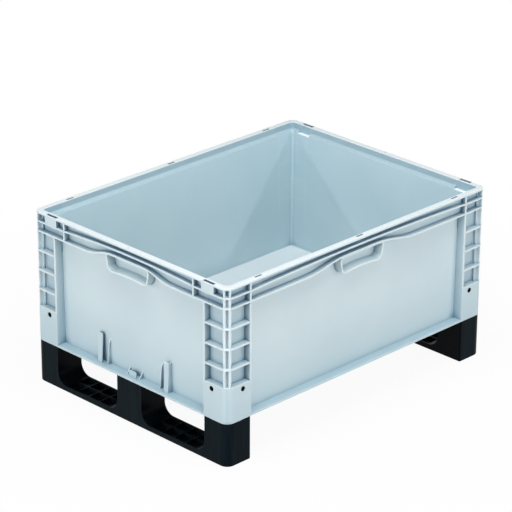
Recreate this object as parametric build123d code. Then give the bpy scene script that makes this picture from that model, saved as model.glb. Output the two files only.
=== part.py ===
from build123d import *
import os

# A Euro-size plastic container on two pinned runners, in millimetres. X runs along the long side,
# Y along the short side, Z up. The origin is on the ground, under the middle of the container.

# Outside of the whole crate
length = 800.0
width = 600.0
body_height = 305.0
runner_height = 100.0
corner_radius = 20.0

# Container walls: the panels lean in towards the foot, and the floor hangs below the base flange
wall = 3.0
base_flange = 4.0
floor_drop = 7.0
floor_thickness = 4.0
panel_recess_top = 20.5
panel_recess_foot = 24.0
inner_corner_radius = 5.0
floor_fillet = 3.0
least_radius = 1.0

# Rim and the stacking rebate inside it
rim_width = 14.0
rim_thickness = 4.0
rim_edge_radius = 1.2
rebate_depth = 14.0
rebate_corner_radius = 8.0
shelf_rounding = 8.0
rim_slot_length = 18.0
rim_slot_width = 3.0
rim_slot_gap = 0.5
rim_slot_from_end = 98.0
rim_vent_radius = 1.8
rim_vent_setback = 5.0

# Outside ribs below the rim: the second bows up between the uprights, the third waves over the grips
rib = 3.4
second_rib_drop = 22.0
second_rib_bow = 7.5
third_rib_gap = 23.0
second_band_recess = 13.0
band_rib_width = 4.0
band_rib_from_end = 100.0
wave_rise = 16.5
wave_top_half = 42.0
wave_run_short = 95.0
wave_run_long = 135.0

# Corner columns, each a ladder of pockets above a closed block
column_width = 70.0
column_rib = 4.2
ladder_ribs = 3
lowest_pocket = 40.75
pocket_recess = 15.5
pocket_radius = 4.5
column_hollow_top = 240.0

# Upright round at each corner's arc, with two ribs on it and a groove between them
core_width = 22.0
core_inset = 9.4
corner_rib = 3.2
corner_rib_setback = 0.3
groove_half = 5.6
groove_depth = 10.4
diagonal = 45.0

# Closed block at the foot of each column
block_height = 82.0
block_wall = 3.5

# Lid pockets in the short rims
lid_pocket_from_end = 57.5
lid_pocket_length = 36.0
lid_pocket_wall = 1.5
lid_pocket_front = 1.2
lid_pocket_back = 1.25
shelf_notch_length = 36.0

# Shell grips, one on each side
grip_top_half = 68.5
grip_bottom_half = 60.0
grip_height = 43.0
grip_bow = 5.0
grip_top_radius = 10.0
grip_bottom_radius = 16.0
grip_wall = 3.0
grip_taper = 6.0

# Label guides on the short sides
card_width = 210.0
card_play = 3.0
guide_wall = 2.5
guide_height = 68.5
guide_depth_foot = 13.0
guide_depth_top = 9.0
guide_lip = 10.5
blade_thickness = 2.6
blade_setback = 24.0
blade_depth_foot = 10.0
blade_depth_top = 4.5
blade_shoulder = 50.0
blade_height = 57.0
clip_width = 22.0
clip_height = 13.0
clip_radius = 5.0
clip_fin_gap = 7.0
clip_fin_depth = 12.5
clip_fin_height = 17.0

# Ribs under the floor, between the runners
base_rib = 3.0
base_rib_depth = 3.0
base_rib_margin = 20.0
base_rib_inset = 34.0
base_ribs_along = 5
base_ribs_across = 7

# Runners
runner_inset = 0.4
runner_step = 0.5
runner_wall = 4.0
runner_skin = 5.0
runner_inner_radius = 4.0
runner_edge_radius = 2.0
middle_foot = 75.0
end_foot = 68.0
bar_height = 13.0
window_radius = 28.0
trough_skin = 4.0
trough_wall = 3.5
trough_rows = 2
trough_cells = 4
trough_rib = 2.5
trough_cell_radius = 4.0
socket_clearance = 0.4
seat_clearance = 0.4
post_gap = 0.8

# Locking pins
pin_hole_radius = 6.0
pin_clearance = 0.15
pin_shank_radius = 4.0
pin_drop = 12.0
pin_from_column_edge = 24.0
pin_sunk = 0.4
pin_tip_gap = 1.0
pin_edge = 0.5
pin_lead = 1.0

# Levels and planes that follow from the sizes above
half_length = length / 2
half_width = width / 2
base_level = runner_height
flange_level = base_level + base_flange
floor_level = flange_level - floor_drop
tub_bottom = floor_level - floor_thickness
rim_level = base_level + body_height
rebate_level = rim_level - rebate_depth
second_rib = rim_level - second_rib_drop
third_rib = second_rib - third_rib_gap
block_level = base_level + block_height
band_recess = rim_width - wall
band_x = half_length - band_recess
panel_x = half_length - panel_recess_foot
panel_y = half_width - panel_recess_foot
column_x = half_length - column_width
column_y = half_width - column_width
tub_corner_radius = inner_corner_radius + wall
lid_pocket_y = half_width - lid_pocket_from_end
pin_x = column_x + pin_from_column_edge
pin_y = column_y + pin_from_column_edge
pin_level = block_level - pin_drop

# Cuts and joined pieces reach this far past the faces they meet
over = 1.0

short_sides = ("left", "right")
long_sides = ("front", "back")
sides = short_sides + long_sides


def block(x0, x1, y0, y1, z0, z1):
    """Box between two opposite corners."""
    return Pos(x0, y0, z0) * Box(x1 - x0, y1 - y0, z1 - z0, align=(Align.MIN, Align.MIN, Align.MIN))


def plate(outline, bottom, top):
    """Flat outline carried up from one level to another."""
    return Pos(0, 0, bottom) * extrude(outline, amount=top - bottom)


def inner_radius(inset):
    """Radius of a line that follows the crate's rounded corner at an inset, never quite sharp."""
    return max(corner_radius - inset, least_radius)


def plan(inset, radius):
    """Plan of the crate set in from its outer planes, the four corners rounded."""
    return RectangleRounded(length - 2 * inset, width - 2 * inset, radius)


def corner_plan(x0, y0, inset, radius):
    """Rectangle from (x0, y0) to the right-back corner, set in from the outer planes and rounded there."""
    x1 = half_length - inset
    y1 = half_width - inset
    sheet = Pos(x0, y0) * Rectangle(x1 - x0, y1 - y0, align=(Align.MIN, Align.MIN))
    far_corner = sheet.vertices().sort_by_distance((0, 0, 0))[-1]
    return fillet(far_corner, radius)


def recess_at(level):
    """How far a panel's outside lies behind the outer plane at a level."""
    draft = (panel_recess_foot - panel_recess_top) / (third_rib - base_level)
    return panel_recess_foot - draft * (level - base_level)


def drafted(inset, radius, bottom, top):
    """Space inside the panels' slope, set in by an even amount, from one level to another."""
    sections = [Pos(0, 0, z) * plan(recess_at(z) + inset, radius) for z in (bottom, top)]
    return loft(sections, ruled=True)


def each_corner(shapes):
    """Shapes of the right-back corner with their mirror images at the other three corners."""
    both_ends = shapes + [mirror(shape, about=Plane.YZ) for shape in shapes]
    return both_ends + [mirror(shape, about=Plane.XZ) for shape in both_ends]


def side_frame(side):
    """Frame on an outer plane: first axis along the side, second up, third outward."""
    along, outward, distance = {
        "right": ((0, 1, 0), (1, 0, 0), half_length),
        "left": ((0, -1, 0), (-1, 0, 0), half_length),
        "back": ((-1, 0, 0), (0, 1, 0), half_width),
        "front": ((1, 0, 0), (0, -1, 0), half_width),
    }[side]
    origin = tuple(distance * part for part in outward)
    return Location(Plane(origin=origin, x_dir=along, z_dir=outward))


def column_plate(bottom, top):
    """Plate that covers one corner column out to the outer planes."""
    return plate(corner_plan(column_x, column_y, 0, corner_radius), bottom, top)


def rib_plate(level):
    """Full rib sheet, centred on a level."""
    return plate(plan(0, corner_radius), level - rib / 2, level + rib / 2)


def rim_plate():
    """Top flange of the rim, its upper outer edges rounded."""
    sheet = plate(plan(0, corner_radius), rim_level - rim_thickness, rim_level)
    return fillet(sheet.faces().sort_by(Axis.Z)[-1].edges(), rim_edge_radius)


def corner_ribs():
    """Upright round inside one corner's arc and the two ribs on it, a V groove between them."""
    bottom = block_level - over
    top = rim_level - over
    core_radius = corner_radius - core_inset
    core_x = half_length - core_width
    core_y = half_width - core_width
    core = plate(corner_plan(core_x, core_y, core_inset, core_radius), bottom, top)

    reach = 2 * corner_radius
    side_reach = reach * (groove_half + corner_rib) / corner_radius
    wedge = make_face(Polyline((0, 0), (reach, -side_reach), (reach, side_reach), close=True))
    groove_foot = corner_radius - groove_depth
    groove_end = groove_foot + 2 * groove_depth
    groove = make_face(
        Polyline((groove_foot, 0), (groove_end, -2 * groove_half), (groove_end, 2 * groove_half), close=True)
    )
    ribs = (wedge & Circle(corner_radius - corner_rib_setback)) - groove
    on_diagonal = Pos(half_length - corner_radius, half_width - corner_radius) * Rot(0, 0, diagonal)
    return [core, on_diagonal * plate(ribs, bottom, top)]


def pocket_back():
    """Plan of one column's back wall, behind the pockets."""
    return corner_plan(column_x, column_y, pocket_recess, pocket_radius)


def corner_column():
    """Corner column: back wall, closed block, rungs, edge ribs and the ribs on its arc."""
    ladder_pitch = (third_rib - block_level - lowest_pocket) / ladder_ribs
    rungs = [third_rib - ladder_pitch * n for n in range(1, ladder_ribs + 1)]
    rib_x1 = column_x + column_rib
    rib_y1 = column_y + column_rib
    return [
        plate(pocket_back(), base_level, second_rib),
        column_plate(base_level, block_level),
        *[column_plate(level - rib / 2, level + rib / 2) for level in rungs],
        block(panel_x - over, half_length, column_y, rib_y1, base_level, third_rib),
        block(column_x, rib_x1, panel_y - over, half_width, base_level, rim_level - over),
        *corner_ribs(),
    ]


def short_end_band():
    """Upright rib and lid pocket boss at one end of a short rim."""
    rib_y = half_width - band_rib_from_end
    return [
        block(
            panel_x - over,
            half_length,
            rib_y - band_rib_width / 2,
            rib_y + band_rib_width / 2,
            third_rib,
            rim_level - over,
        ),
        block(
            band_x - over,
            half_length,
            lid_pocket_y - lid_pocket_length / 2,
            lid_pocket_y + lid_pocket_length / 2,
            second_rib,
            rim_level - over,
        ),
    ]


def lid_spaces():
    """Lid pocket in the short rim and the notch behind it in the shelf, at one corner."""
    pocket_half = lid_pocket_length / 2 - lid_pocket_wall
    pocket = block(
        band_x + lid_pocket_back,
        half_length - lid_pocket_front,
        lid_pocket_y - pocket_half,
        lid_pocket_y + pocket_half,
        second_rib + rib / 2,
        rim_level + over,
    )
    notch = block(
        panel_x - wall,
        half_length - rim_width,
        lid_pocket_y - shelf_notch_length / 2,
        lid_pocket_y + shelf_notch_length / 2,
        second_rib + rib / 2,
        rebate_level + over,
    )
    return [pocket, notch]


def cavity():
    """Inside of the tub: the main space and the stacking rebate, the shelf between them rounded."""
    main = drafted(wall, inner_corner_radius, floor_level, rebate_level)
    main = fillet(main.faces().sort_by(Axis.Z)[0].edges(), floor_fillet)
    space = main + plate(plan(rim_width, rebate_corner_radius), rebate_level, rim_level + over)
    shelf = space.faces().filter_by(Axis.Z).sort_by(Axis.Z)[1]
    return fillet(shelf.inner_wires()[0].edges(), shelf_rounding)


def corner_socket():
    """L-shaped space inside one corner block, open below, that takes a runner's post."""
    start_x = column_x + column_rib
    start_y = column_y + column_rib
    outer = corner_plan(start_x, start_y, block_wall, inner_radius(block_wall))
    space = plate(outer, base_level - over, block_level - block_wall)
    return space - plate(pocket_back(), base_level - 2 * over, block_level)


def column_hollow():
    """Narrow L-shaped space between one column's back wall and the tub, open below, so no wall is thick."""
    start_x = column_x + column_rib
    start_y = column_y + column_rib
    outline = corner_plan(start_x, start_y, pocket_recess + wall, least_radius)
    top = base_level + column_hollow_top
    space = plate(outline, base_level - over, top)
    return space - drafted(0, tub_corner_radius, base_level - 2 * over, top + over)


def pin_bores(radius, start, end):
    """Bores for one corner's two pins, square to its faces, from one depth behind them to another."""
    bore = Pos(0, 0, -end) * Cylinder(radius, end - start, align=(Align.CENTER, Align.CENTER, Align.MIN))
    return [
        Pos(half_length, pin_y, pin_level) * Rot(0, 90, 0) * bore,
        Pos(pin_x, half_width, pin_level) * Rot(-90, 0, 0) * bore,
    ]


def rim_openings():
    """Slots through the long rims, in the middle and near both ends, and a vent in each short rim."""
    bottom = rim_level - rim_thickness - over
    top = rim_level + over
    slot_front = rim_slot_gap + rim_slot_width - band_recess
    slot = block(
        -rim_slot_length / 2, rim_slot_length / 2, bottom, top, slot_front - rim_slot_width, slot_front
    )
    slot_end = half_length - rim_slot_from_end
    vent = Cylinder(rim_vent_radius, top - bottom, align=(Align.CENTER, Align.CENTER, Align.MIN))
    vent_x = half_length - rim_vent_setback
    openings = [Pos(x, 0, bottom) * vent for x in (-vent_x, vent_x)]
    for side in long_sides:
        openings += [side_frame(side) * Pos(s, 0, 0) * slot for s in (-slot_end, 0, slot_end)]
    return openings


def bow_half(side):
    """Half the length of the second rib's bow, from upright to upright."""
    return half_width - band_rib_from_end if side in short_sides else column_x


def bow_line(side, level):
    """Edge of the second rib's bow on a side, starting and ending at a level."""
    half = bow_half(side)
    return [ThreePointArc((-half, level), (0, level + second_rib_bow), (half, level))]


def wave_half(side):
    """Half the length of the third rib's wave."""
    return wave_top_half + (wave_run_short if side in short_sides else wave_run_long)


def wave_line(side, level):
    """Edges of the third rib's wave from a level: two tangent arcs up, a flat top, two arcs down."""
    outer = wave_half(side)
    middle = (outer + wave_top_half) / 2
    halfway = level + wave_rise / 2
    top = level + wave_rise
    edges = [Line((-wave_top_half, top), (wave_top_half, top))]
    for sign in (-1, 1):
        edges.append(TangentArc((sign * outer, level), (sign * middle, halfway), tangent=(-sign, 0)))
        edges.append(TangentArc((sign * wave_top_half, top), (sign * middle, halfway), tangent=(sign, 0)))
    return edges


def shaped_rib(level, half, line):
    """Rib sheet round the crate, whose middle stretch on each side follows a line."""
    low = level - rib / 2
    high = level + rib / 2
    sheet = rib_plate(level)
    strips = []
    for side in sides:
        end = half(side)
        gap = block(-end, end, level - rib, level + rib, -panel_recess_foot, over)
        sheet -= side_frame(side) * gap
        ends = [Line((x, low), (x, high)) for x in (-end, end)]
        outline = make_face(line(side, low) + line(side, high) + ends)
        strips.append(side_frame(side) * extrude(outline, amount=-panel_recess_foot - over))
    return [sheet, *strips]


def under_rib(level, half, line, depth):
    """Spaces under a shaped rib's raised stretches, from the outer planes to a depth."""
    foot = level - over
    spaces = []
    for side in sides:
        end = half(side)
        base = Polyline((-end, level), (-end, foot), (end, foot), (end, level))
        outline = make_face(line(side, level) + [base])
        spaces.append(side_frame(side) * extrude(outline, amount=-depth))
    return spaces


def bands():
    """Outside of the wall above the panels: a band over the second rib and a deeper one under it."""
    upper = plate(plan(band_recess, inner_radius(band_recess)), second_rib, rim_level)
    lower = plate(plan(second_band_recess, inner_radius(second_band_recess)), third_rib, rim_level - over)
    upper -= under_rib(second_rib, bow_half, bow_line, second_band_recess)
    lower -= under_rib(third_rib, wave_half, wave_line, panel_recess_foot)
    return [upper, lower]


def grip_outline():
    """Rounded trapezoid of a grip's edge, its top in the third rib's wave, with a bottom that bows upward."""
    top = third_rib + wave_rise
    bottom = top - grip_height
    edges = [
        Line((-grip_top_half, top), (grip_top_half, top)),
        Line((grip_top_half, top), (grip_bottom_half, bottom)),
        ThreePointArc((grip_bottom_half, bottom), (0, bottom + grip_bow), (-grip_bottom_half, bottom)),
        Line((-grip_bottom_half, bottom), (-grip_top_half, top)),
    ]
    sheet = make_face(edges)
    sheet = fillet(sheet.vertices().group_by(Axis.Y)[-1], grip_top_radius)
    return fillet(sheet.vertices().group_by(Axis.Y)[0], grip_bottom_radius)


def grip_ring():
    """Collar of a shell grip from the panel to the outer plane, its inside drawn in towards the panel."""
    outline = grip_outline()
    collar = extrude(outline, amount=-panel_recess_foot)
    mouth = offset(outline, amount=-grip_wall)
    hollow = extrude(mouth, amount=-panel_recess_foot, taper=grip_taper)
    return collar - hollow


def side_profile(points, start, end):
    """Profile given as distances outward and up, carried along a side from one place to another."""
    profile = extrude(make_face(Polyline(*points, close=True)), amount=end - start)
    return Pos(end, 0, 0) * Rot(0, -90, 0) * profile


def label_guides():
    """Two channels, two blades and a bottom clip that hold a card in front of the panel."""
    back = -panel_recess_foot - over
    foot = flange_level - over
    top = flange_level + guide_height
    front_foot = guide_depth_foot - recess_at(flange_level)
    front_top = guide_depth_top - recess_at(top)
    outer = card_width / 2 + card_play + guide_wall
    channel_side = [(back, foot), (front_foot, foot), (front_top, top), (back, top)]
    channel_lip = [
        (front_foot - guide_wall, foot),
        (front_foot, foot),
        (front_top, top),
        (front_top - guide_wall, top),
    ]
    channel = side_profile(channel_side, outer - guide_wall, outer)
    channel += side_profile(channel_lip, outer - guide_wall - guide_lip, outer)

    shoulder_level = flange_level + blade_shoulder
    blade_top = flange_level + blade_height
    blade_foot = blade_depth_foot - recess_at(flange_level)
    blade_side = [
        (back, foot),
        (blade_foot, foot),
        (blade_depth_top - recess_at(shoulder_level), shoulder_level),
        (-recess_at(blade_top), blade_top),
        (back, blade_top),
    ]
    blade_start = card_width / 2 - blade_setback
    blade = side_profile(blade_side, blade_start, blade_start + blade_thickness)

    fin_foot = clip_fin_depth - recess_at(flange_level)
    fin_side = [(back, foot), (fin_foot, foot), (back, foot + clip_fin_height)]
    fin_start = clip_width / 2 + clip_fin_gap
    fin = side_profile(fin_side, fin_start, fin_start + blade_thickness)

    tongue = Pos(0, foot) * Rectangle(clip_width, clip_height + over, align=(Align.CENTER, Align.MIN))
    tongue = fillet(tongue.vertices().group_by(Axis.Y)[-1], clip_radius)
    clip = Pos(0, 0, front_foot - guide_wall) * extrude(tongue, amount=guide_wall)
    half = [channel, blade, fin]
    return half + [mirror(piece, about=Plane.YZ) for piece in half] + [clip]


def base_grid():
    """Stiffening ribs under the floor, a frame with bars along and across, between the runners."""
    x = column_x - base_rib_margin
    y = half_width - base_rib_inset
    z0 = tub_bottom - base_rib_depth
    z1 = tub_bottom + over
    bars = []
    for n in range(base_ribs_along):
        s = -y + 2 * y * n / (base_ribs_along - 1)
        bars.append(block(-x, x, s - base_rib / 2, s + base_rib / 2, z0, z1))
    for n in range(base_ribs_across):
        s = -x + 2 * x * n / (base_ribs_across - 1)
        bars.append(block(s - base_rib / 2, s + base_rib / 2, -y, y, z0, z1))
    return bars


def container_body():
    """Whole container as one moulding: tub, rim, ribs, columns, grips, label guides and base ribs."""
    tub = drafted(0, tub_corner_radius, tub_bottom, second_rib)
    flange = plate(plan(0, corner_radius), base_level, flange_level)
    added = [flange, rim_plate(), *bands(), *base_grid()]
    added += shaped_rib(second_rib, bow_half, bow_line)
    added += shaped_rib(third_rib, wave_half, wave_line)
    added += each_corner(corner_column() + short_end_band())
    added += [side_frame(side) * grip_ring() for side in sides]
    added += [side_frame(side) * piece for side in short_sides for piece in label_guides()]
    bores = pin_bores(pin_hole_radius, -over, block_wall + over)
    corner_cuts = [corner_socket(), column_hollow(), *lid_spaces(), *bores]
    return tub + added - ([cavity()] + rim_openings() + each_corner(corner_cuts))


def corner_post():
    """L-shaped post of a runner that fills one corner socket, bored for its two pins."""
    inset = block_wall + socket_clearance
    start = column_rib + socket_clearance
    outer = corner_plan(column_x + start, column_y + start, inset, inner_radius(inset))
    back_inset = pocket_recess - socket_clearance
    back = corner_plan(column_x, column_y, back_inset, pocket_radius + socket_clearance)
    top = block_level - block_wall - post_gap
    post = plate(outer, runner_skin - over, top) - plate(back, 0, top + over)
    return post - pin_bores(pin_shank_radius + pin_clearance, 0, panel_recess_foot)


def runner():
    """Right-hand runner: three hollow feet open at the top, two bars with cells, and two corner posts."""
    x0 = column_x + runner_step
    x1 = half_length - runner_inset
    y1 = half_width - runner_inset
    foot_y = half_width - end_foot
    middle_y = middle_foot / 2

    outline = Pos((x0 + x1) / 2, 0) * Rectangle(x1 - x0, 2 * y1)
    outline = fillet(outline.vertices().group_by(Axis.X)[-1], inner_radius(runner_inset))
    outline = fillet(outline.vertices().group_by(Axis.X)[0], runner_inner_radius)
    solid = plate(outline, 0, runner_height)
    solid = fillet(solid.faces().sort_by(Axis.Z)[0].edges(), runner_edge_radius)

    window = Pos((middle_y + foot_y) / 2, bar_height) * Rectangle(
        foot_y - middle_y, runner_height, align=(Align.CENTER, Align.MIN)
    )
    window = fillet(window.vertices().group_by(Axis.Y)[0], window_radius)
    through = Plane(origin=(x0 - over, 0, 0), x_dir=(0, 1, 0), z_dir=(1, 0, 0))
    opening = Location(through) * extrude(window, amount=x1 - x0 + 2 * over)

    pitch_x = (x1 - x0 - 2 * trough_wall + trough_rib) / trough_rows
    pitch_y = (foot_y - middle_y - 2 * window_radius + trough_rib) / trough_cells
    cell_plan = RectangleRounded(pitch_x - trough_rib, pitch_y - trough_rib, trough_cell_radius)
    cell = plate(cell_plan, trough_skin, bar_height + over)
    trough_middle = Pos((x0 + x1) / 2, (middle_y + foot_y) / 2)
    spots = GridLocations(pitch_x, pitch_y, trough_rows, trough_cells)
    cells = [trough_middle * spot * cell for spot in spots]

    wall_inset = runner_inset + runner_wall
    hollow_x0 = x0 + runner_wall
    hollow_top = runner_height + over
    end_outline = corner_plan(hollow_x0, foot_y + runner_wall, wall_inset, inner_radius(wall_inset))
    end_hollow = plate(end_outline, runner_skin, hollow_top)
    middle_hollow = block(
        hollow_x0, x1 - runner_wall, runner_wall - middle_y, middle_y - runner_wall, runner_skin, hollow_top
    )
    seat = drafted(-seat_clearance, tub_corner_radius, tub_bottom - seat_clearance, hollow_top)
    cuts = [middle_hollow, seat]
    for cut in (opening, *cells, end_hollow):
        cuts += [cut, mirror(cut, about=Plane.XZ)]
    post = corner_post()
    return solid - cuts + [post, mirror(post, about=Plane.XZ)]


def locking_pin():
    """Push-in pin along +X with its head's face at the origin: head in the wall, shank in the post."""
    head_length = block_wall + socket_clearance - pin_sunk
    shank_length = pocket_recess - block_wall - 2 * socket_clearance - pin_tip_gap
    inward = (Align.CENTER, Align.CENTER, Align.MAX)
    head = Cylinder(pin_hole_radius - pin_clearance, head_length, align=inward)
    head = fillet(head.faces().sort_by(Axis.Z)[-1].edges(), pin_edge)
    shank = Cylinder(pin_shank_radius, head_length + shank_length, align=inward)
    shank = chamfer(shank.faces().sort_by(Axis.Z)[0].edges(), pin_lead)
    return Rot(0, 90, 0) * (head + shank)


def pins():
    """The eight pins by name: two at each corner, one through the short face and one through the long."""
    named = {}
    pin = locking_pin()
    face_x = half_length - pin_sunk
    face_y = half_width - pin_sunk
    for x_name, x_sign in (("left", -1), ("right", 1)):
        for y_name, y_sign in (("front", -1), ("back", 1)):
            end_turn = Rot(0, 0, 90 - 90 * x_sign)
            side_turn = Rot(0, 0, 90 * y_sign)
            end_place = Pos(x_sign * face_x, y_sign * pin_y, pin_level)
            side_place = Pos(x_sign * pin_x, y_sign * face_y, pin_level)
            named[f"pin_{x_name}_{y_name}_end"] = end_place * end_turn * pin
            named[f"pin_{x_name}_{y_name}_side"] = side_place * side_turn * pin
    return named


os.makedirs("parts", exist_ok=True)
right = runner()
nodes = {
    "container_body": container_body(),
    "runner_right": right,
    "runner_left": mirror(right, about=Plane.YZ),
    **pins(),
}
for name, shape in nodes.items():
    export_step(shape, f"parts/{name}.step")
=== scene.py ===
import math

import bpy
from mathutils import Matrix, Vector

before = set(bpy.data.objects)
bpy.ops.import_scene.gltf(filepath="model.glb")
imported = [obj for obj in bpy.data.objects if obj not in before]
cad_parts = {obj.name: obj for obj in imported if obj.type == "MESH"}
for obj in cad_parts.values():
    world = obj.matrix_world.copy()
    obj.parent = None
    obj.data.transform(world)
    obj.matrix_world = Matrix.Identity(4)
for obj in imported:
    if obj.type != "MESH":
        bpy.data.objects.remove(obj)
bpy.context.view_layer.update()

# Container: one injection moulding of light blue-grey polypropylene, 800 by 600 mm, with a recessed
# panel on each side, ladder-ribbed corner columns, a flanged rim, shell grips and card guides.
# The tool's edges are slightly rounded; the thin soft highlight that every rib ends in is painted on.


def linear(colour):
    """Scene-linear RGBA of an sRGB hex colour: each channel through the sRGB curve."""
    channels = [int(colour[i:i + 2], 16) / 255 for i in (1, 3, 5)]
    return [c / 12.92 if c <= 0.04045 else ((c + 0.055) / 1.055) ** 2.4 for c in channels] + [1.0]


def add_node(tree, kind, sockets, **settings):
    """One node of a material: its settings, and each input set to a value or linked to an output."""
    node = tree.nodes.new(kind)
    for name, value in settings.items():
        setattr(node, name, value)
    for socket, value in sockets.items():
        if isinstance(value, bpy.types.NodeSocket):
            tree.links.new(value, node.inputs[socket])
        else:
            node.inputs[socket].default_value = value
    return node


def empty_material(name):
    """A material with no nodes yet."""
    material = bpy.data.materials.new(name)
    material.use_nodes = True
    material.node_tree.nodes.clear()
    return material


def per_metre(millimetres):
    """Texture scale that gives a pattern with features of this size: how many of them make a metre."""
    return 1000.0 / millimetres


# Moulded polypropylene: an even, milky satin. The eye sees a soft sheen broken by a fine grain and a slow
# drift in tone from the melt's flow. Painted over it: bluish painted shade in the recesses and all over the
# inside, a darker tone towards the foot of the walls, a paler painted sheen on the rim's top and the floor,
# and pale painted highlights on edges, sills and the corner grooves. The real grain is near 0.5 mm; it is
# drawn at 3 mm to show.
grey = empty_material("grey_polypropylene_moulded")
tree = grey.node_tree
place = add_node(tree, "ShaderNodeTexCoord", {}).outputs["Object"]
flow_size = 180
flow_low = 0.3
flow_high = 0.7
flow = add_node(
    tree,
    "ShaderNodeTexNoise",
    {"Vector": place, "Scale": per_metre(flow_size), "Detail": 3.0, "Roughness": 0.5},
).outputs["Fac"]
drift = add_node(
    tree, "ShaderNodeMapRange", {"Value": flow, "From Min": flow_low, "From Max": flow_high}
).outputs[0]

# A Mix node has sockets of the same names for numbers and for colours. These are its colour sockets.
under = 6
over = 7
mixed = 2
tone = add_node(
    tree,
    "ShaderNodeMix",
    {"Factor": drift, under: linear("#bfd0d6"), over: linear("#c6d6db")},
    data_type="RGBA",
).outputs[mixed]

# How far out a point lies, the same all along one wall: the larger of its reach towards an end and a side.
# The smaller of the two tells how near it is to a corner column.
length_over_width = 0.1
along, across, up = add_node(tree, "ShaderNodeSeparateXYZ", {"Vector": place}).outputs
endwise = add_node(tree, "ShaderNodeMath", {0: along}, operation="ABSOLUTE").outputs[0]
endwise = add_node(
    tree, "ShaderNodeMath", {0: endwise, 1: length_over_width}, operation="SUBTRACT"
).outputs[0]
sideways = add_node(tree, "ShaderNodeMath", {0: across}, operation="ABSOLUTE").outputs[0]
reach = add_node(tree, "ShaderNodeMath", {0: endwise, 1: sideways}, operation="MAXIMUM").outputs[0]
nearer = add_node(tree, "ShaderNodeMath", {0: endwise, 1: sideways}, operation="MINIMUM").outputs[0]

# Each mark below is a mask from 0 to 1 that fades between two limits: low and high are heights above the
# ground, in and out are distances from the middle, all in metres. A share is a mask's strength at one of
# its limits, where that isn't 0 or 1.

# The outer walls are darker and bluer towards their foot, and more so on the base flange behind its edge.
foot_fade_low = 0.1
foot_fade_high = 0.24
foot_fade_share = 0.36
foot_fade = add_node(
    tree,
    "ShaderNodeMapRange",
    {"Value": up, "From Min": foot_fade_low, "From Max": foot_fade_high, "To Min": foot_fade_share, "To Max": 0.0},
).outputs[0]
flange_low = 0.1042
flange_high = 0.107
flange_share = 0.62
flange = add_node(
    tree,
    "ShaderNodeMapRange",
    {"Value": up, "From Min": flange_low, "From Max": flange_high, "To Min": flange_share, "To Max": 0.0},
).outputs[0]
flange_edge_in = 0.2975
flange_edge_out = 0.2992
behind_edge = add_node(
    tree,
    "ShaderNodeMapRange",
    {"Value": reach, "From Min": flange_edge_in, "From Max": flange_edge_out, "To Min": 1.0, "To Max": 0.0},
).outputs[0]
flange = add_node(tree, "ShaderNodeMath", {0: flange, 1: behind_edge}, operation="MULTIPLY").outputs[0]
low_darkening = add_node(tree, "ShaderNodeMath", {0: foot_fade, 1: flange}, operation="MAXIMUM").outputs[0]

# The inside gets a deeper, bluer tone: painted shade over the whole inside of the box. The wall leans out,
# so its reach is first taken back to the ground.
wall_lean = -0.0123
wall_in = 0.2728
wall_out = 0.2737
upright = add_node(
    tree, "ShaderNodeMath", {0: up, 1: wall_lean, 2: reach}, operation="MULTIPLY_ADD"
).outputs[0]
inside = add_node(
    tree,
    "ShaderNodeMapRange",
    {"Value": upright, "From Min": wall_in, "From Max": wall_out, "To Min": 1.0, "To Max": 0.0},
).outputs[0]
inside_shaded_tone = add_node(
    tree,
    "ShaderNodeMix",
    {"Factor": drift, under: linear("#b0c8d1"), over: linear("#b8ced6")},
    data_type="RGBA",
).outputs[mixed]

# Sink marks: faint pale lines on the inside, opposite the edge ribs and rungs of the corner columns. They are
# painted highlights standing in for the light on the marks' shallow dips.
column_line = 0.232
rung_level = 0.22275
rung_pitch = 0.04575
sink_half_width = 0.0013
edge_mark = add_node(
    tree, "ShaderNodeMath", {0: nearer, 1: column_line, 2: sink_half_width}, operation="COMPARE"
).outputs[0]
off_rung = add_node(tree, "ShaderNodeMath", {0: up, 1: rung_level}, operation="SUBTRACT").outputs[0]
off_rung = add_node(tree, "ShaderNodeMath", {0: off_rung, 1: rung_pitch / 2}, operation="PINGPONG").outputs[0]
rung_mark = add_node(
    tree, "ShaderNodeMath", {0: off_rung, 1: sink_half_width}, operation="LESS_THAN"
).outputs[0]
in_column = add_node(tree, "ShaderNodeMath", {0: nearer, 1: column_line}, operation="GREATER_THAN").outputs[0]
rung_mark = add_node(tree, "ShaderNodeMath", {0: rung_mark, 1: in_column}, operation="MULTIPLY").outputs[0]
sink_highlight = add_node(tree, "ShaderNodeMath", {0: edge_mark, 1: rung_mark}, operation="MAXIMUM").outputs[0]
sink_low = 0.15
sink_high = 0.2
sink_share = 0.09
sink_strength = add_node(
    tree,
    "ShaderNodeMapRange",
    {"Value": up, "From Min": sink_low, "From Max": sink_high, "To Max": sink_share},
).outputs[0]
for limit in (sink_strength, inside):
    sink_highlight = add_node(tree, "ShaderNodeMath", {0: sink_highlight, 1: limit}, operation="MULTIPLY").outputs[0]

# The rim's top and the floor are painted a paler, greyer tone: a painted sheen on these surfaces that face
# up.
rim_low = 0.4035
rim_high = 0.4045
floor_low = 0.098
floor_high = 0.1
sheen_share = 0.8
rim_sheen = add_node(
    tree, "ShaderNodeMapRange", {"Value": up, "From Min": rim_low, "From Max": rim_high, "To Max": sheen_share}
).outputs[0]
floor_sheen = add_node(
    tree,
    "ShaderNodeMapRange",
    {"Value": up, "From Min": floor_low, "From Max": floor_high, "To Min": sheen_share, "To Max": 0.0},
).outputs[0]
top_sheen = add_node(tree, "ShaderNodeMath", {0: rim_sheen, 1: floor_sheen}, operation="MAXIMUM").outputs[0]
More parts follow.
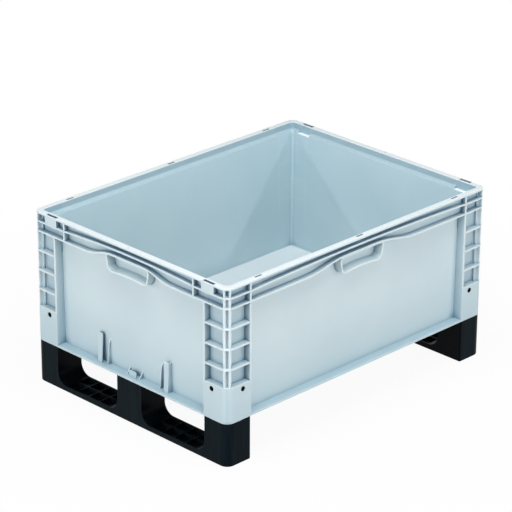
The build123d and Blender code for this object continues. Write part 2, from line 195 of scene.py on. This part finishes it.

# The stacking rebate inside the rim is painted darker: painted shade in the rebate under the rim's top.
rebate_foot_low = 0.382
rebate_foot_high = 0.388
rebate_shade = add_node(
    tree, "ShaderNodeMapRange", {"Value": up, "From Min": rebate_foot_low, "From Max": rebate_foot_high}
).outputs[0]
rebate_top_low = 0.4028
rebate_top_high = 0.404
below_rim = add_node(
    tree,
    "ShaderNodeMapRange",
    {"Value": up, "From Min": rebate_top_low, "From Max": rebate_top_high, "To Min": 1.0, "To Max": 0.0},
).outputs[0]
rebate_wall_in = 0.2864
rebate_wall_out = 0.287
within_rim = add_node(
    tree,
    "ShaderNodeMapRange",
    {"Value": reach, "From Min": rebate_wall_in, "From Max": rebate_wall_out, "To Min": 1.0, "To Max": 0.0},
).outputs[0]
for limit in (below_rim, within_rim):
    rebate_shade = add_node(tree, "ShaderNodeMath", {0: rebate_shade, 1: limit}, operation="MULTIPLY").outputs[0]

# The sills of the notches in the shelf, just below the rebate, are painted pale: a painted highlight on these
# up-facing sills. A sill is told by its height and by facing up.
facing = add_node(tree, "ShaderNodeNewGeometry", {}).outputs["True Normal"]
facing_up = add_node(tree, "ShaderNodeSeparateXYZ", {"Vector": facing}).outputs["Z"]
slanting = 0.6
level = 0.8
sill_height = 0.3842
sill_band = 0.0012
sill_highlight = add_node(
    tree, "ShaderNodeMapRange", {"Value": facing_up, "From Min": slanting, "From Max": level}
).outputs[0]
at_sill = add_node(
    tree, "ShaderNodeMath", {0: up, 1: sill_height, 2: sill_band}, operation="COMPARE"
).outputs[0]
for limit in (at_sill, within_rim):
    sill_highlight = add_node(tree, "ShaderNodeMath", {0: sill_highlight, 1: limit}, operation="MULTIPLY").outputs[0]

# The backs and sides of the corner columns' pockets are painted darker, their level sills much less: painted
# shade in the pockets.
steep = 0.3
level_face_share = 0.2
steep_faces = add_node(
    tree,
    "ShaderNodeMapRange",
    {"Value": facing_up, "From Min": steep, "From Max": level, "To Min": 1.0, "To Max": level_face_share},
).outputs[0]
column_in = 0.2285
column_out = 0.2295
pocket_shade_share = 0.34
pocket_shade = add_node(
    tree,
    "ShaderNodeMapRange",
    {"Value": nearer, "From Min": column_in, "From Max": column_out, "To Max": pocket_shade_share},
).outputs[0]
pocket_in = 0.292
pocket_out = 0.297
recessed = add_node(
    tree,
    "ShaderNodeMapRange",
    {"Value": reach, "From Min": pocket_in, "From Max": pocket_out, "To Min": 1.0, "To Max": 0.0},
).outputs[0]
outside = add_node(tree, "ShaderNodeMath", {0: 1.0, 1: inside}, operation="SUBTRACT").outputs[0]
for limit in (recessed, outside, steep_faces):
    pocket_shade = add_node(tree, "ShaderNodeMath", {0: pocket_shade, 1: limit}, operation="MULTIPLY").outputs[0]

# The groove down each corner of the container is painted paler: painted light that lifts the shade in it.
off_diagonal = add_node(tree, "ShaderNodeMath", {0: endwise, 1: sideways}, operation="SUBTRACT").outputs[0]
off_diagonal = add_node(tree, "ShaderNodeMath", {0: off_diagonal}, operation="ABSOLUTE").outputs[0]
groove_in = 0.007
groove_out = 0.009
groove_share = 0.8
groove_light = add_node(
    tree,
    "ShaderNodeMapRange",
    {
        "Value": off_diagonal,
        "From Min": groove_in,
        "From Max": groove_out,
        "To Min": groove_share,
        "To Max": 0.0,
    },
).outputs[0]
groove_back_in = 0.278
groove_back_out = 0.28
groove_back = add_node(
    tree, "ShaderNodeMapRange", {"Value": reach, "From Min": groove_back_in, "From Max": groove_back_out}
).outputs[0]
groove_foot_low = 0.18
groove_foot_high = 0.183
groove_foot = add_node(
    tree, "ShaderNodeMapRange", {"Value": up, "From Min": groove_foot_low, "From Max": groove_foot_high}
).outputs[0]
groove_head_low = 0.386
groove_head_high = 0.388
groove_head = add_node(
    tree,
    "ShaderNodeMapRange",
    {"Value": up, "From Min": groove_head_low, "From Max": groove_head_high, "To Min": 1.0, "To Max": 0.0},
).outputs[0]
for limit in (groove_back, groove_foot, groove_head):
    groove_light = add_node(tree, "ShaderNodeMath", {0: groove_light, 1: limit}, operation="MULTIPLY").outputs[0]

# Bluish painted shade in the other inside corners, told by how much of the open a point sees. It also paints
# a thin dark line round the pockets of the columns and where the grips and ribs above the panel meet the
# wall.
corner_reach = 0.026
corner_shut = 0.1
corner_open = 0.66
openness = add_node(
    tree, "ShaderNodeAmbientOcclusion", {"Distance": corner_reach}, samples=8, only_local=True
).outputs["AO"]
crevice_shade = add_node(
    tree,
    "ShaderNodeMapRange",
    {"Value": openness, "From Min": corner_shut, "From Max": corner_open, "To Min": 1.0, "To Max": 0.0},
).outputs[0]
seam_reach = 0.007
seam_shut = 0.5
seam_open = 0.8
seam_share = 0.85
seam_shade = add_node(
    tree, "ShaderNodeAmbientOcclusion", {"Distance": seam_reach}, samples=8, only_local=True
).outputs["AO"]
seam_shade = add_node(
    tree,
    "ShaderNodeMapRange",
    {"Value": seam_shade, "From Min": seam_shut, "From Max": seam_open, "To Min": seam_share, "To Max": 0.0},
).outputs[0]
panel_top_low = 0.318
panel_top_high = 0.325
panel_share = 0.2
lined = add_node(
    tree,
    "ShaderNodeMapRange",
    {"Value": up, "From Min": panel_top_low, "From Max": panel_top_high, "To Min": panel_share},
).outputs[0]
ladder_in = 0.2308
ladder_out = 0.2318
in_ladder = add_node(
    tree, "ShaderNodeMapRange", {"Value": nearer, "From Min": ladder_in, "From Max": ladder_out}
).outputs[0]
lined = add_node(tree, "ShaderNodeMath", {0: lined, 1: in_ladder}, operation="MAXIMUM").outputs[0]
seam_shade = add_node(tree, "ShaderNodeMath", {0: seam_shade, 1: lined}, operation="MULTIPLY").outputs[0]
crevice_shade = add_node(tree, "ShaderNodeMath", {0: crevice_shade, 1: seam_shade}, operation="MAXIMUM").outputs[0]
# The painted shade is kept off the groove, the rebate and the sills, and is weaker on level faces lower down.
crevice_shade_spared = groove_light
for sparing_mark in (rebate_shade, sill_highlight):
    crevice_shade_spared = add_node(
        tree, "ShaderNodeMath", {0: crevice_shade_spared, 1: sparing_mark}, operation="MAXIMUM"
    ).outputs[0]
crevice_shade_allowed = add_node(tree, "ShaderNodeMath", {0: 1.0, 1: crevice_shade_spared}, operation="SUBTRACT").outputs[0]
under_rim_low = 0.352
under_rim_high = 0.358
steep_or_high = add_node(
    tree, "ShaderNodeMapRange", {"Value": up, "From Min": under_rim_low, "From Max": under_rim_high}
).outputs[0]
steep_or_high = add_node(
    tree, "ShaderNodeMath", {0: steep_faces, 1: steep_or_high}, operation="MAXIMUM"
).outputs[0]
for limit in (crevice_shade_allowed, steep_or_high):
    crevice_shade = add_node(tree, "ShaderNodeMath", {0: crevice_shade, 1: limit}, operation="MULTIPLY").outputs[0]

# Dark rings are painted round the slots through the long rims: painted shade around the slots' dark openings.
slot_line = 0.2905
slot_half_width = 0.0028
slot_half_length = 0.0098
slot_pitch = 0.302
slot_shade = add_node(
    tree, "ShaderNodeMath", {0: sideways, 1: slot_line, 2: slot_half_width}, operation="COMPARE"
).outputs[0]
off_slot = add_node(tree, "ShaderNodeMath", {0: along, 1: slot_pitch / 2}, operation="PINGPONG").outputs[0]
beside_slot = add_node(
    tree, "ShaderNodeMath", {0: off_slot, 1: slot_half_length}, operation="LESS_THAN"
).outputs[0]
for limit in (beside_slot, rim_sheen):
    slot_shade = add_node(tree, "ShaderNodeMath", {0: slot_shade, 1: limit}, operation="MULTIPLY").outputs[0]

# Edges that stand out are painted pale: a painted highlight, found where the normal of a rounded edge turns
# away from the flat face's. It keeps to open places, and the edges of the corner blocks, low down, get less.
edge_radius = 0.0019
edge_turned = 0.9
edge_flat = 0.995
rounded = add_node(tree, "ShaderNodeBevel", {"Radius": edge_radius}, samples=8).outputs["Normal"]
turned = add_node(
    tree, "ShaderNodeVectorMath", {0: rounded, 1: facing}, operation="DOT_PRODUCT"
).outputs["Value"]
edge_highlight = add_node(
    tree,
    "ShaderNodeMapRange",
    {"Value": turned, "From Min": edge_turned, "From Max": edge_flat, "To Min": 1.0, "To Max": 0.0},
).outputs[0]
sheltered = 0.6
exposed = 0.9
out_in_the_open = add_node(
    tree, "ShaderNodeMapRange", {"Value": openness, "From Min": sheltered, "From Max": exposed}
).outputs[0]
block_top_low = 0.178
block_top_high = 0.184
block_share = 0.3
above_block = add_node(
    tree,
    "ShaderNodeMapRange",
    {"Value": up, "From Min": block_top_low, "From Max": block_top_high, "To Min": block_share},
).outputs[0]
clear_of_slot_shade = add_node(tree, "ShaderNodeMath", {0: 1.0, 1: slot_shade}, operation="SUBTRACT").outputs[0]
for limit in (out_in_the_open, above_block, clear_of_slot_shade):
    edge_highlight = add_node(tree, "ShaderNodeMath", {0: edge_highlight, 1: limit}, operation="MULTIPLY").outputs[0]

# The marks lie over the plain tone in this order.
marks = [
    (low_darkening, linear("#8caab8")),
    (inside, inside_shaded_tone),
    (sink_highlight, linear("#e2eef2")),
    (top_sheen, linear("#ced5d7")),
    (rebate_shade, linear("#99b1bb")),
    (sill_highlight, linear("#f2f6f8")),
    (pocket_shade, linear("#86a5b6")),
    (groove_light, linear("#d6e2e7")),
    (crevice_shade, linear("#40728d")),
    (slot_shade, linear("#4a626f")),
    (edge_highlight, linear("#f6f9fa")),
]
surface_colour = tone
for mask, colour in marks:
    surface_colour = add_node(
        tree, "ShaderNodeMix", {"Factor": mask, under: surface_colour, over: colour}, data_type="RGBA"
    ).outputs[mixed]

grain_size = 3
grain_depth = 0.0004
grain = add_node(
    tree,
    "ShaderNodeTexNoise",
    {"Vector": place, "Scale": per_metre(grain_size), "Detail": 2.0, "Roughness": 0.6},
).outputs["Fac"]
relief = add_node(
    tree, "ShaderNodeBump", {"Height": grain, "Strength": 0.06, "Distance": grain_depth}
).outputs["Normal"]
satin = add_node(
    tree,
    "ShaderNodeBsdfPrincipled",
    {"Base Color": surface_colour, "Roughness": 0.46, "IOR": 1.49, "Normal": relief},
).outputs["BSDF"]
add_node(tree, "ShaderNodeOutputMaterial", {"Surface": satin})

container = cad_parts["container_body"]
container.data.materials.clear()
container.data.materials.append(grey)

# Runners: two black mouldings under the short ends, each with three hollow feet, two fork windows and a
# ribbed bar along the ground. Posts on their ends stand in the container's corner blocks.

# Black polypropylene, moulded from reground stock: a bluish near black. The eye sees faint upright streaks
# where the melt ran up the feet and a low satin gloss that varies with them. Painted over it: near-black
# painted shade on what lies flat, on the windows' sides and on the inward faces, and a greyer painted
# highlight on the edges. Its grain is drawn as coarse as the container's.
black = empty_material("black_polypropylene_moulded")
tree = black.node_tree
place = add_node(tree, "ShaderNodeTexCoord", {}).outputs["Object"]
along, across, up = add_node(tree, "ShaderNodeSeparateXYZ", {"Vector": place}).outputs
streak_size = 9
streak_stretch = 0.06
streak_low = 0.4
streak_high = 0.75
drawn_out = add_node(
    tree, "ShaderNodeMapping", {"Vector": place, "Scale": (1.0, 1.0, streak_stretch)}
).outputs["Vector"]
streak = add_node(
    tree,
    "ShaderNodeTexNoise",
    {"Vector": drawn_out, "Scale": per_metre(streak_size), "Detail": 3.0, "Roughness": 0.6},
).outputs["Fac"]
drift = add_node(
    tree, "ShaderNodeMapRange", {"Value": streak, "From Min": streak_low, "From Max": streak_high}
).outputs[0]
surface_colour = add_node(
    tree,
    "ShaderNodeMix",
    {"Factor": drift, under: linear("#050f14"), over: linear("#0d1b21")},
    data_type="RGBA",
).outputs[mixed]

# Near-black painted shade on level faces, on the windows' sides and on faces turned to the tunnel between the
# runners.
facing = add_node(tree, "ShaderNodeNewGeometry", {}).outputs["True Normal"]
facing_along, facing_across, facing_up = add_node(
    tree, "ShaderNodeSeparateXYZ", {"Vector": facing}
).outputs
runner_shade_share = 0.8
slanting = 0.5
level = 0.9
runner_shade = add_node(
    tree,
    "ShaderNodeMapRange",
    {"Value": facing_up, "From Min": slanting, "From Max": level, "To Max": runner_shade_share},
).outputs[0]
oblique = 0.2
square_on = 0.6
window_side = add_node(tree, "ShaderNodeMath", {0: facing_across}, operation="ABSOLUTE").outputs[0]
window_side = add_node(
    tree,
    "ShaderNodeMapRange",
    {"Value": window_side, "From Min": oblique, "From Max": square_on, "To Max": runner_shade_share},
).outputs[0]
end_foot_in = 0.25
end_foot_out = 0.255
from_end = add_node(tree, "ShaderNodeMath", {0: across}, operation="ABSOLUTE").outputs[0]
from_end = add_node(
    tree,
    "ShaderNodeMapRange",
    {"Value": from_end, "From Min": end_foot_in, "From Max": end_foot_out, "To Min": 1.0, "To Max": 0.0},
).outputs[0]
window_side = add_node(tree, "ShaderNodeMath", {0: window_side, 1: from_end}, operation="MULTIPLY").outputs[0]

# A face turned to the middle has its normal against its place along the crate, so their product is negative.
tunnel_full = -0.25
tunnel_none = -0.1
tunnel_share = 0.85
tunnel_side = add_node(tree, "ShaderNodeMath", {0: facing_along, 1: along}, operation="MULTIPLY").outputs[0]
tunnel_side = add_node(
    tree,
    "ShaderNodeMapRange",
    {
        "Value": tunnel_side,
        "From Min": tunnel_full,
        "From Max": tunnel_none,
        "To Min": tunnel_share,
        "To Max": 0.0,
    },
).outputs[0]
for side in (window_side, tunnel_side):
    runner_shade = add_node(tree, "ShaderNodeMath", {0: runner_shade, 1: side}, operation="MAXIMUM").outputs[0]

# Edges get a greyer painted highlight as on the container, but hardly on the bar along the ground.
edge_radius = 0.0016
edge_turned = 0.85
edge_flat = 0.995
rounded = add_node(tree, "ShaderNodeBevel", {"Radius": edge_radius}, samples=6).outputs["Normal"]
turned = add_node(
    tree, "ShaderNodeVectorMath", {0: rounded, 1: facing}, operation="DOT_PRODUCT"
).outputs["Value"]
edge_highlight = add_node(
    tree,
    "ShaderNodeMapRange",
    {"Value": turned, "From Min": edge_turned, "From Max": edge_flat, "To Min": 1.0, "To Max": 0.0},
).outputs[0]
bar_top_low = 0.027
bar_top_high = 0.035
bar_share = 0.15
above_bar = add_node(
    tree,
    "ShaderNodeMapRange",
    {"Value": up, "From Min": bar_top_low, "From Max": bar_top_high, "To Min": bar_share},
).outputs[0]
edge_highlight = add_node(tree, "ShaderNodeMath", {0: edge_highlight, 1: above_bar}, operation="MULTIPLY").outputs[0]
for mask, colour in ((runner_shade, linear("#010305")), (edge_highlight, linear("#27323a"))):
    surface_colour = add_node(
        tree, "ShaderNodeMix", {"Factor": mask, under: surface_colour, over: colour}, data_type="RGBA"
    ).outputs[mixed]

dull = 0.4
glossy = 0.26
dullness = add_node(
    tree,
    "ShaderNodeMapRange",
    {"Value": streak, "From Min": flow_low, "From Max": flow_high, "To Min": dull, "To Max": glossy},
).outputs[0]
grain = add_node(
    tree,
    "ShaderNodeTexNoise",
    {"Vector": place, "Scale": per_metre(grain_size), "Detail": 2.0, "Roughness": 0.6},
).outputs["Fac"]
relief = add_node(
    tree, "ShaderNodeBump", {"Height": grain, "Strength": 0.06, "Distance": grain_depth}
).outputs["Normal"]
satin = add_node(
    tree,
    "ShaderNodeBsdfPrincipled",
    {
        "Base Color": surface_colour,
        "Roughness": dullness,
        "IOR": 1.49,
        "Specular IOR Level": 0.04,
        "Normal": relief,
    },
).outputs["BSDF"]
add_node(tree, "ShaderNodeOutputMaterial", {"Surface": satin})
for name in ("runner_left", "runner_right"):
    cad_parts[name].data.materials.clear()
    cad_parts[name].data.materials.append(black)

# Locking pins: eight black push-in pins, two at each corner, that hold the runners' posts in the blocks.
# They are moulded in virgin polypropylene, darker and glossier than the runners.

# Black polypropylene from a polished tool: almost no tone of its own, and a small clear highlight on the
# head, hardly broken by its grain, which is drawn at 2 mm to show.
polished = empty_material("black_polypropylene_polished")
tree = polished.node_tree
place = add_node(tree, "ShaderNodeTexCoord", {}).outputs["Object"]
flow_size = 8
flow = add_node(
    tree,
    "ShaderNodeTexNoise",
    {"Vector": place, "Scale": per_metre(flow_size), "Detail": 3.0, "Roughness": 0.6},
).outputs["Fac"]
drift = add_node(
    tree, "ShaderNodeMapRange", {"Value": flow, "From Min": flow_low, "From Max": flow_high}
).outputs[0]
tone = add_node(
    tree,
    "ShaderNodeMix",
    {"Factor": drift, under: linear("#030506"), over: linear("#07090b")},
    data_type="RGBA",
).outputs[mixed]
grain_size = 2
grain_depth = 0.0002
grain = add_node(
    tree,
    "ShaderNodeTexNoise",
    {"Vector": place, "Scale": per_metre(grain_size), "Detail": 2.0, "Roughness": 0.6},
).outputs["Fac"]
relief = add_node(
    tree, "ShaderNodeBump", {"Height": grain, "Strength": 0.05, "Distance": grain_depth}
).outputs["Normal"]
gloss = add_node(
    tree,
    "ShaderNodeBsdfPrincipled",
    {"Base Color": tone, "Roughness": 0.28, "IOR": 1.49, "Specular IOR Level": 0.03, "Normal": relief},
).outputs["BSDF"]
add_node(tree, "ShaderNodeOutputMaterial", {"Surface": gloss})
for name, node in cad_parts.items():
    if name.startswith("pin_"):
        node.data.materials.clear()
        node.data.materials.append(polished)

# Floor: a plain white studio floor that keeps a soft shadow of the crate. Seen by the camera it is mostly
# plain white paper; its underside lets the camera through, so the crate can be looked at from below.
floor_half = 30.0
floor_mesh = bpy.data.meshes.new("floor")
corners = [(-floor_half, -floor_half, 0.0), (floor_half, -floor_half, 0.0)]
corners += [(floor_half, floor_half, 0.0), (-floor_half, floor_half, 0.0)]
floor_mesh.from_pydata(corners, [], [(0, 1, 2, 3)])
floor = bpy.data.objects.new("floor", floor_mesh)
bpy.context.scene.collection.objects.link(floor)

# White paper: a matt sheet that takes the shadow, under a plain white that covers all of it but a few parts
# in a hundred near the crate, and the whole of it further away.
paper = empty_material("white_paper_floor")
tree = paper.node_tree
sheet = add_node(tree, "ShaderNodeBsdfDiffuse", {"Color": linear("#cccccc")}).outputs["BSDF"]
bright = add_node(
    tree, "ShaderNodeEmission", {"Color": linear("#ffffff"), "Strength": 1.0}
).outputs["Emission"]
path = add_node(tree, "ShaderNodeLightPath", {})
seen = path.outputs["Is Camera Ray"]
for ray in ("Is Glossy Ray", "Is Transmission Ray"):
    seen = add_node(tree, "ShaderNodeMath", {0: seen, 1: path.outputs[ray]}, operation="MAXIMUM").outputs[0]
shadow_in = 0.4
shadow_out = 1.1
shadow_white = 0.94
place = add_node(tree, "ShaderNodeTexCoord", {}).outputs["Object"]
away = add_node(tree, "ShaderNodeVectorMath", {0: place}, operation="LENGTH").outputs["Value"]
whiteness = add_node(
    tree,
    "ShaderNodeMapRange",
    {"Value": away, "From Min": shadow_in, "From Max": shadow_out, "To Min": shadow_white},
).outputs[0]
whiteness = add_node(tree, "ShaderNodeMath", {0: seen, 1: whiteness}, operation="MULTIPLY").outputs[0]
upper = add_node(tree, "ShaderNodeMixShader", {0: whiteness, 1: sheet, 2: bright}).outputs["Shader"]
clear = add_node(tree, "ShaderNodeBsdfTransparent", {}).outputs["BSDF"]
underside = add_node(tree, "ShaderNodeNewGeometry", {}).outputs["Backfacing"]
underside = add_node(
    tree, "ShaderNodeMath", {0: underside, 1: path.outputs["Is Camera Ray"]}, operation="MULTIPLY"
).outputs[0]
surface = add_node(tree, "ShaderNodeMixShader", {0: underside, 1: upper, 2: clear}).outputs["Shader"]
add_node(tree, "ShaderNodeOutputMaterial", {"Surface": surface})
floor_mesh.materials.append(paper)

# Light: a large soft box overhead and one above the near corner, a low one facing each of the four sides, two
# small lamps that draw the slanting shadows on the far inside walls, and a faint even fill from all round.


def studio_lamp(name, direction, distance, size, watts):
    """Square area lamp at a distance along a direction from the crate's middle, facing it."""
    aim_height = 0.22
    aim = Vector((0.0, 0.0, aim_height))
    lamp = bpy.data.lights.new(name, "AREA")
    lamp.shape = "SQUARE"
    lamp.size = size
    lamp.energy = watts
    holder = bpy.data.objects.new(name, lamp)
    holder.location = aim + Vector(direction).normalized() * distance
    holder.rotation_euler = (aim - holder.location).to_track_quat("-Z", "Y").to_euler()
    bpy.context.scene.collection.objects.link(holder)


studio_lamp("overhead_box", direction=(-0.18, -0.18, 1.0), distance=2.6, size=1.6, watts=55.0)
studio_lamp("front_box", direction=(-0.6, -0.6, 1.0), distance=3.5, size=1.6, watts=34.0)
studio_lamp("left_lamp", direction=(-2.0, 1.0, 0.9), distance=3.0, size=0.07, watts=9.0)
studio_lamp("right_lamp", direction=(1.0, -2.0, 1.03), distance=3.0, size=0.07, watts=12.0)
studio_lamp("short_box", direction=(-1.0, 0.0, 0.2), distance=3.0, size=1.2, watts=33.0)
studio_lamp("long_box", direction=(0.0, -1.0, 0.2), distance=3.0, size=1.2, watts=29.0)
studio_lamp("far_short_box", direction=(1.0, 0.0, 0.2), distance=3.0, size=1.2, watts=17.0)
studio_lamp("far_long_box", direction=(0.0, 1.0, 0.2), distance=3.0, size=1.2, watts=17.0)

world = bpy.data.worlds.new("studio")
world.use_nodes = True
tree = world.node_tree
tree.nodes.clear()
path = add_node(tree, "ShaderNodeLightPath", {})
seen = path.outputs["Is Camera Ray"]
for ray in ("Is Glossy Ray", "Is Transmission Ray"):
    seen = add_node(tree, "ShaderNodeMath", {0: seen, 1: path.outputs[ray]}, operation="MAXIMUM").outputs[0]
fill = add_node(
    tree, "ShaderNodeBackground", {"Color": linear("#ffffff"), "Strength": 0.03}
).outputs["Background"]
white = add_node(
    tree, "ShaderNodeBackground", {"Color": linear("#ffffff"), "Strength": 1.0}
).outputs["Background"]
surround = add_node(tree, "ShaderNodeMixShader", {0: seen, 1: fill, 2: white}).outputs["Shader"]
add_node(tree, "ShaderNodeOutputWorld", {"Surface": surround})
bpy.context.scene.world = world

# Camera: a long lens at the photograph's angle, 24 degrees above the crate's near corner.
eye = Vector((-3.8181, -3.8075, 2.6081))
looked_at = Vector((0.09995, 0.11885, 0.2))
roll = math.radians(0.248)
camera_data = bpy.data.cameras.new("camera")
camera_data.sensor_width = 36.0
camera_data.lens = 187.72
camera = bpy.data.objects.new("camera", camera_data)
turn = (looked_at - eye).to_track_quat("-Z", "Y").to_matrix().to_4x4()
camera.matrix_world = Matrix.Translation(eye) @ turn @ Matrix.Rotation(roll, 4, "Z")
bpy.context.scene.collection.objects.link(camera)
bpy.context.scene.camera = camera
bpy.context.scene.view_settings.view_transform = "Standard"
